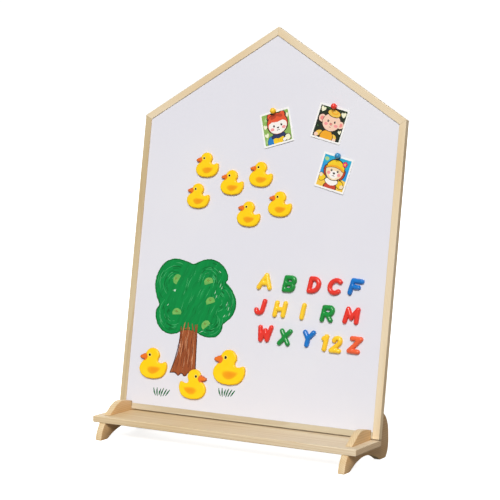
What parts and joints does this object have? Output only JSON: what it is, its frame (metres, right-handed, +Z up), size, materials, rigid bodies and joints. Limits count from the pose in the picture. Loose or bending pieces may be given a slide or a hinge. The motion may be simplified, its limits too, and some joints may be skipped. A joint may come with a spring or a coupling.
{
  "type": "kids easel",
  "caption": "House-shaped magnetic play board standing in slotted feet with a slide-in tray, with duck, letter and number magnets, and picture cards held by pin magnets.",
  "frame": {"origin": "on the floor, under the middle of the easel's bounding box", "axes": "+Z up, -Y towards the child who draws on the board, +X to that child's right"},
  "size_m": [0.64, 0.2645, 0.8902],
  "materials": {
    "frame_pine": "clear satin varnish over pale straight-grained pine",
    "tray_pine": "clear satin varnish over pale straight-grained pine",
    "beech_joinery": "bare wood",
    "white_enamel": "smooth white writing enamel",
    "fibreboard": "bare fibreboard",
    "backing_board": "smooth off-white painted hardboard",
    "ferrite": "matt dark grey",
    "printed_card": "satin printed card with a white border",
    "duck_yellow": "satin, with printed beak, wing and eye",
    "yellow_plastic": "moulded, soft gloss",
    "green_plastic": "moulded, soft gloss",
    "red_plastic": "moulded, soft gloss",
    "blue_plastic": "moulded, soft gloss",
    "orange_plastic": "moulded, soft gloss"
  },
  "bodies": {
    "feet": {"left_foot": "frame_pine", "right_foot": "frame_pine"},
    "tray": {"tray": "tray_pine"},
    "board": {"left_stile": "frame_pine", "right_stile": "frame_pine", "left_rafter": "frame_pine", "right_rafter": "frame_pine", "bottom_rail": "frame_pine", "left_eave_key": "beech_joinery", "right_eave_key": "beech_joinery", "ridge_key": "beech_joinery", "left_rail_dowel": "beech_joinery", "right_rail_dowel": "beech_joinery", "writing_sheet": "white_enamel", "core_board": "fibreboard", "backing_board": "backing_board"},
    "duck_1": {"duck_1": "duck_yellow", "duck_1_magnet": "ferrite"},
    "duck_2": {"duck_2": "duck_yellow", "duck_2_magnet": "ferrite"},
    "duck_3": {"duck_3": "duck_yellow", "duck_3_magnet": "ferrite"},
    "duck_4": {"duck_4": "duck_yellow", "duck_4_magnet": "ferrite"},
    "duck_5": {"duck_5": "duck_yellow", "duck_5_magnet": "ferrite"},
    "duck_6": {"duck_6": "duck_yellow", "duck_6_magnet": "ferrite"},
    "duck_7": {"duck_7": "duck_yellow", "duck_7_magnet": "ferrite"},
    "duck_8": {"duck_8": "duck_yellow", "duck_8_magnet": "ferrite"},
    "duck_9": {"duck_9": "duck_yellow", "duck_9_magnet": "ferrite"},
    "letter_a": {"letter_a": "yellow_plastic"},
    "letter_b": {"letter_b": "green_plastic"},
    "letter_d": {"letter_d": "red_plastic"},
    "letter_c": {"letter_c": "red_plastic"},
    "letter_f": {"letter_f": "blue_plastic"},
    "letter_j": {"letter_j": "red_plastic"},
    "letter_h": {"letter_h": "yellow_plastic"},
    "letter_i": {"letter_i": "yellow_plastic"},
    "letter_r": {"letter_r": "green_plastic"},
    "letter_m": {"letter_m": "red_plastic"},
    "letter_w": {"letter_w": "red_plastic"},
    "letter_x": {"letter_x": "green_plastic"},
    "letter_y": {"letter_y": "blue_plastic"},
    "number_1": {"number_1": "yellow_plastic"},
    "number_2": {"number_2": "yellow_plastic"},
    "letter_z": {"letter_z": "orange_plastic"},
    "green_card": {"green_card": "printed_card"},
    "yellow_pin": {"yellow_pin": "yellow_plastic", "yellow_pin_magnet": "ferrite"},
    "garden_card": {"garden_card": "printed_card"},
    "red_pin": {"red_pin": "red_plastic", "red_pin_magnet": "ferrite"},
    "seaside_card": {"seaside_card": "printed_card"},
    "blue_pin": {"blue_pin": "blue_plastic", "blue_pin_magnet": "ferrite"}
  },
  "joints": [
    {"name": "tray_slide", "type": "slide", "parent": "feet", "child": "tray", "axis": [0, -1, 0], "range_m": [0, 0.12]},
    {"name": "board_lift", "type": "slide", "parent": "feet", "child": "board", "axis": [0, 0.159, 0.9873], "range_m": [0, 0.08]},
    {"name": "duck_1_pull", "type": "slide", "parent": "board", "child": "duck_1", "axis": [0, -0.9873, 0.159], "range_m": [0, 0.05]},
    {"name": "duck_2_pull", "type": "slide", "parent": "board", "child": "duck_2", "axis": [0, -0.9873, 0.159], "range_m": [0, 0.05]},
    {"name": "duck_3_pull", "type": "slide", "parent": "board", "child": "duck_3", "axis": [0, -0.9873, 0.159], "range_m": [0, 0.05]},
    {"name": "duck_4_pull", "type": "slide", "parent": "board", "child": "duck_4", "axis": [0, -0.9873, 0.159], "range_m": [0, 0.05]},
    {"name": "duck_5_pull", "type": "slide", "parent": "board", "child": "duck_5", "axis": [0, -0.9873, 0.159], "range_m": [0, 0.05]},
    {"name": "duck_6_pull", "type": "slide", "parent": "board", "child": "duck_6", "axis": [0, -0.9873, 0.159], "range_m": [0, 0.05]},
    {"name": "duck_7_pull", "type": "slide", "parent": "board", "child": "duck_7", "axis": [0, -0.9873, 0.159], "range_m": [0, 0.05]},
    {"name": "duck_8_pull", "type": "slide", "parent": "board", "child": "duck_8", "axis": [0, -0.9873, 0.159], "range_m": [0, 0.05]},
    {"name": "duck_9_pull", "type": "slide", "parent": "board", "child": "duck_9", "axis": [0, -0.9873, 0.159], "range_m": [0, 0.05]},
    {"name": "letter_a_pull", "type": "slide", "parent": "board", "child": "letter_a", "axis": [0, -0.9873, 0.159], "range_m": [0, 0.05]},
    {"name": "letter_b_pull", "type": "slide", "parent": "board", "child": "letter_b", "axis": [0, -0.9873, 0.159], "range_m": [0, 0.05]},
    {"name": "letter_d_pull", "type": "slide", "parent": "board", "child": "letter_d", "axis": [0, -0.9873, 0.159], "range_m": [0, 0.05]},
    {"name": "letter_c_pull", "type": "slide", "parent": "board", "child": "letter_c", "axis": [0, -0.9873, 0.159], "range_m": [0, 0.05]},
    {"name": "letter_f_pull", "type": "slide", "parent": "board", "child": "letter_f", "axis": [0, -0.9873, 0.159], "range_m": [0, 0.05]},
    {"name": "letter_j_pull", "type": "slide", "parent": "board", "child": "letter_j", "axis": [0, -0.9873, 0.159], "range_m": [0, 0.05]},
    {"name": "letter_h_pull", "type": "slide", "parent": "board", "child": "letter_h", "axis": [0, -0.9873, 0.159], "range_m": [0, 0.05]},
    {"name": "letter_i_pull", "type": "slide", "parent": "board", "child": "letter_i", "axis": [0, -0.9873, 0.159], "range_m": [0, 0.05]},
    {"name": "letter_r_pull", "type": "slide", "parent": "board", "child": "letter_r", "axis": [0, -0.9873, 0.159], "range_m": [0, 0.05]},
    {"name": "letter_m_pull", "type": "slide", "parent": "board", "child": "letter_m", "axis": [0, -0.9873, 0.159], "range_m": [0, 0.05]},
    {"name": "letter_w_pull", "type": "slide", "parent": "board", "child": "letter_w", "axis": [0, -0.9873, 0.159], "range_m": [0, 0.05]},
    {"name": "letter_x_pull", "type": "slide", "parent": "board", "child": "letter_x", "axis": [0, -0.9873, 0.159], "range_m": [0, 0.05]},
    {"name": "letter_y_pull", "type": "slide", "parent": "board", "child": "letter_y", "axis": [0, -0.9873, 0.159], "range_m": [0, 0.05]},
    {"name": "number_1_pull", "type": "slide", "parent": "board", "child": "number_1", "axis": [0, -0.9873, 0.159], "range_m": [0, 0.05]},
    {"name": "number_2_pull", "type": "slide", "parent": "board", "child": "number_2", "axis": [0, -0.9873, 0.159], "range_m": [0, 0.05]},
    {"name": "letter_z_pull", "type": "slide", "parent": "board", "child": "letter_z", "axis": [0, -0.9873, 0.159], "range_m": [0, 0.05]},
    {"name": "green_card_pull", "type": "slide", "parent": "board", "child": "green_card", "axis": [0, -0.9873, 0.159], "range_m": [0, 0.03]},
    {"name": "yellow_pin_pull", "type": "slide", "parent": "green_card", "child": "yellow_pin", "axis": [0, -0.9873, 0.159], "range_m": [0, 0.03]},
    {"name": "garden_card_pull", "type": "slide", "parent": "board", "child": "garden_card", "axis": [0, -0.9873, 0.159], "range_m": [0, 0.03]},
    {"name": "red_pin_pull", "type": "slide", "parent": "garden_card", "child": "red_pin", "axis": [0, -0.9873, 0.159], "range_m": [0, 0.03]},
    {"name": "seaside_card_pull", "type": "slide", "parent": "board", "child": "seaside_card", "axis": [0, -0.9873, 0.159], "range_m": [0, 0.03]},
    {"name": "blue_pin_pull", "type": "slide", "parent": "seaside_card", "child": "blue_pin", "axis": [0, -0.9873, 0.159], "range_m": [0, 0.03]}
  ]
}
